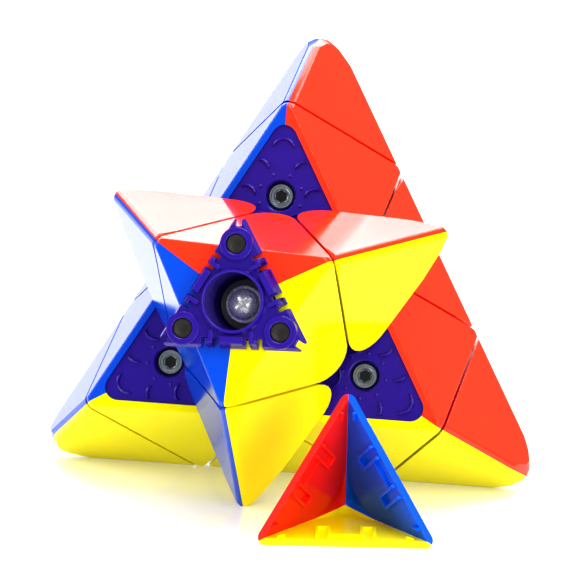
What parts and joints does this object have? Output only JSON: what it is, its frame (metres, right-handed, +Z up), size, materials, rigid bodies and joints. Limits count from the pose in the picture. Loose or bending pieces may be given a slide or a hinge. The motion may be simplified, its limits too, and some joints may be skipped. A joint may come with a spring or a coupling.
{
  "type": "pyramid twisty puzzle",
  "caption": "Magnetic tetrahedral twisty puzzle with turning layers and tips, one layer part-turned and one tip's cap taken off.",
  "frame": {"origin": "middle of the object's footprint, on the surface that it stands on", "axes": "+Z up, +X to the right along the bottom ridge, +Y from the front tip towards the back face"},
  "size_m": [0.0904, 0.076, 0.0776],
  "materials": {
    "yellow_shell": "glossy moulded plastic",
    "red_shell": "glossy moulded plastic",
    "blue_shell": "glossy moulded plastic",
    "green_shell": "glossy moulded plastic",
    "purple_inner": "satin moulded plastic",
    "core_plastic": "matt",
    "magnet": "dark nickel plate",
    "screw_steel": "nickel plate",
    "spring_steel": "drawn wire",
    "washer_black": "black oxide"
  },
  "bodies": {
    "body": {"core": "core_plastic", "axis_screws": "screw_steel", "axis_springs": "spring_steel", "axis_washers": "washer_black", "top_centre_inner": "purple_inner", "top_centre_green": "green_shell", "top_centre_red": "red_shell", "top_centre_blue": "blue_shell", "left_centre_inner": "purple_inner", "left_centre_green": "green_shell", "left_centre_yellow": "yellow_shell", "left_centre_blue": "blue_shell", "right_centre_inner": "purple_inner", "right_centre_green": "green_shell", "right_centre_yellow": "yellow_shell", "right_centre_red": "red_shell", "top_left_edge_green": "green_shell", "top_left_edge_blue": "blue_shell", "top_right_edge_green": "green_shell", "top_right_edge_red": "red_shell", "bottom_edge_green": "green_shell", "bottom_edge_yellow": "yellow_shell", "back_edge_feet": "purple_inner", "body_face_screws": "screw_steel", "body_magnets": "magnet"},
    "front_layer": {"front_centre_inner": "purple_inner", "front_centre_yellow": "yellow_shell", "front_centre_red": "red_shell", "front_centre_blue": "blue_shell", "front_top_edge_red": "red_shell", "front_top_edge_blue": "blue_shell", "front_left_edge_yellow": "yellow_shell", "front_left_edge_blue": "blue_shell", "front_right_edge_yellow": "yellow_shell", "front_right_edge_red": "red_shell", "front_edge_feet": "purple_inner", "front_layer_face_screws": "screw_steel", "front_layer_magnets": "magnet"},
    "front_tip": {"front_tip_base": "purple_inner", "front_tip_magnets": "magnet"},
    "cap": {"cap_yellow_wall": "yellow_shell", "cap_red_wall": "red_shell", "cap_blue_wall": "blue_shell"},
    "top_tip": {"top_tip_base": "purple_inner", "top_tip_green": "green_shell", "top_tip_red": "red_shell", "top_tip_blue": "blue_shell", "top_tip_magnets": "magnet"},
    "left_tip": {"left_tip_base": "purple_inner", "left_tip_green": "green_shell", "left_tip_yellow": "yellow_shell", "left_tip_blue": "blue_shell", "left_tip_magnets": "magnet"},
    "right_tip": {"right_tip_base": "purple_inner", "right_tip_green": "green_shell", "right_tip_yellow": "yellow_shell", "right_tip_red": "red_shell", "right_tip_magnets": "magnet"}
  },
  "joints": [
    {"name": "front_layer_turn", "type": "hinge", "parent": "body", "child": "front_layer", "pos_m": [0, 0.00605, 0.03141], "axis": [0, -0.968, 0.251], "continuous": true},
    {"name": "front_tip_turn", "type": "hinge", "parent": "front_layer", "child": "front_tip", "pos_m": [0, 0.00605, 0.03141], "axis": [0, -0.968, 0.251], "continuous": true},
    {"name": "top_tip_turn", "type": "hinge", "parent": "body", "child": "top_tip", "pos_m": [0, 0.00605, 0.03141], "axis": [0, 0.5593, 0.8289], "continuous": true},
    {"name": "left_tip_turn", "type": "hinge", "parent": "body", "child": "left_tip", "pos_m": [0, 0.00605, 0.03141], "axis": [-0.8165, 0.2043, -0.54], "continuous": true},
    {"name": "right_tip_turn", "type": "hinge", "parent": "body", "child": "right_tip", "pos_m": [0, 0.00605, 0.03141], "axis": [0.8165, 0.2043, -0.54], "continuous": true},
    {"name": "cap_slide", "type": "slide", "parent": "body", "child": "cap", "axis": [0, -1, 0], "range_m": [0, 0.06]}
  ]
}
